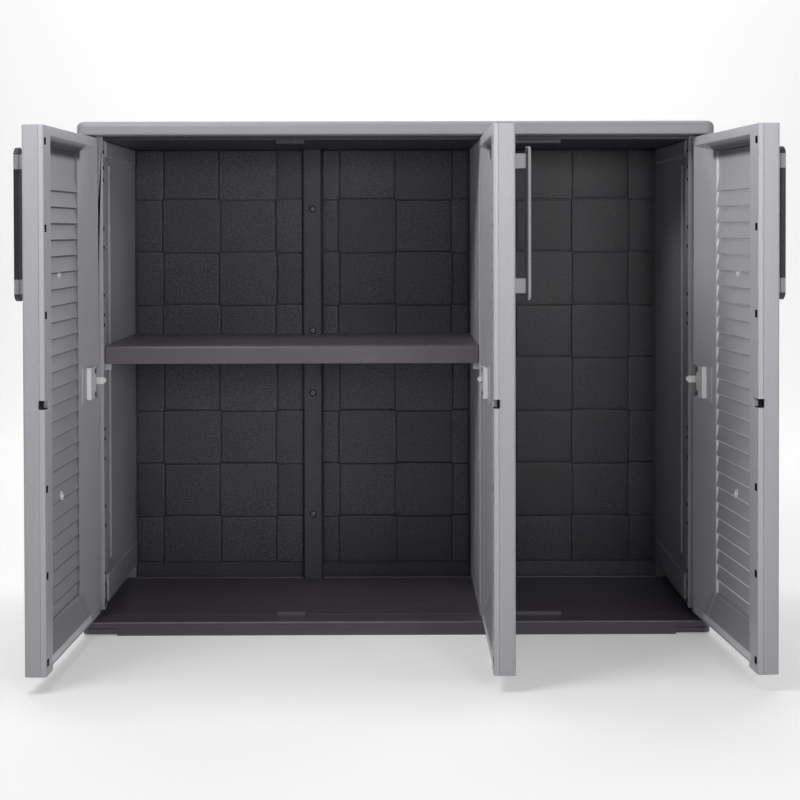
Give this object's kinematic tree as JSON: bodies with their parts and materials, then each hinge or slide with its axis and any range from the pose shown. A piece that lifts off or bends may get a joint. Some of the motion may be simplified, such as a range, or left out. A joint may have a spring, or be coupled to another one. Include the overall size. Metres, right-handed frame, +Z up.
{
  "type": "garden storage cabinet",
  "caption": "Low resin garden storage cabinet with hinged louvred doors, a divider, a lift-off shelf and a flat lid-like roof, shown with the doors open.",
  "frame": {"origin": "centre of the base tray's underside, on the ground", "axes": "+Z up, the doors face -Y, +X to the right as seen by someone facing the doors"},
  "size_m": [1.1057, 0.6592, 0.825],
  "materials": {
    "grey_resin": "satin, lightly textured",
    "anthracite_resin": "matte, lightly textured",
    "white_plastic": "smooth",
    "screw_steel": "zinc plated",
    "pin_steel": "plain"
  },
  "bodies": {
    "cabinet": {"base_tray": "anthracite_resin", "roof_cover": "grey_resin", "roof_liner": "anthracite_resin", "side_panel_left": "grey_resin", "side_panel_right": "grey_resin", "divider_panel": "grey_resin", "back_panel_left": "anthracite_resin", "back_panel_centre": "anthracite_resin", "back_panel_right": "anthracite_resin", "back_column": "anthracite_resin", "back_column_screws": "screw_steel", "shelf_pegs": "grey_resin", "hinge_clip_left": "white_plastic", "hinge_clip_middle": "white_plastic", "hinge_clip_right": "white_plastic"},
    "left_door": {"left_door_outer_panel": "grey_resin", "left_door_inner_panel": "grey_resin", "left_door_hinge_leaf": "white_plastic", "left_door_hinge_screws": "screw_steel", "left_door_pivot_pins": "pin_steel", "left_door_handle": "grey_resin", "left_door_handle_grip": "anthracite_resin", "left_door_handle_screws": "screw_steel"},
    "middle_door": {"middle_door_outer_panel": "grey_resin", "middle_door_inner_panel": "grey_resin", "middle_door_hinge_leaf": "white_plastic", "middle_door_hinge_screws": "screw_steel", "middle_door_pivot_pins": "pin_steel", "middle_door_handle": "grey_resin", "middle_door_handle_grip": "anthracite_resin", "middle_door_handle_screws": "screw_steel"},
    "right_door": {"right_door_outer_panel": "grey_resin", "right_door_inner_panel": "grey_resin", "right_door_hinge_leaf": "white_plastic", "right_door_hinge_screws": "screw_steel", "right_door_pivot_pins": "pin_steel", "right_door_handle": "grey_resin", "right_door_handle_grip": "anthracite_resin", "right_door_handle_screws": "screw_steel"},
    "shelf": {"shelf": "anthracite_resin"}
  },
  "joints": [
    {"name": "left_door_hinge", "type": "hinge", "parent": "cabinet", "child": "left_door", "pos_m": [-0.4945, -0.1585, 0.4075], "axis": [0, 0, 1], "range_deg": [-4.8, 92.2]},
    {"name": "middle_door_hinge", "type": "hinge", "parent": "cabinet", "child": "middle_door", "pos_m": [0.151, -0.1585, 0.4075], "axis": [0, 0, 1], "range_deg": [-90, 7]},
    {"name": "right_door_hinge", "type": "hinge", "parent": "cabinet", "child": "right_door", "pos_m": [0.4945, -0.1585, 0.4075], "axis": [0, 0, 1], "range_deg": [-94.8, 2.2]},
    {"name": "shelf_lift", "type": "slide", "parent": "cabinet", "child": "shelf", "axis": [0, 0, 1], "range_m": [0, 0.025]}
  ]
}
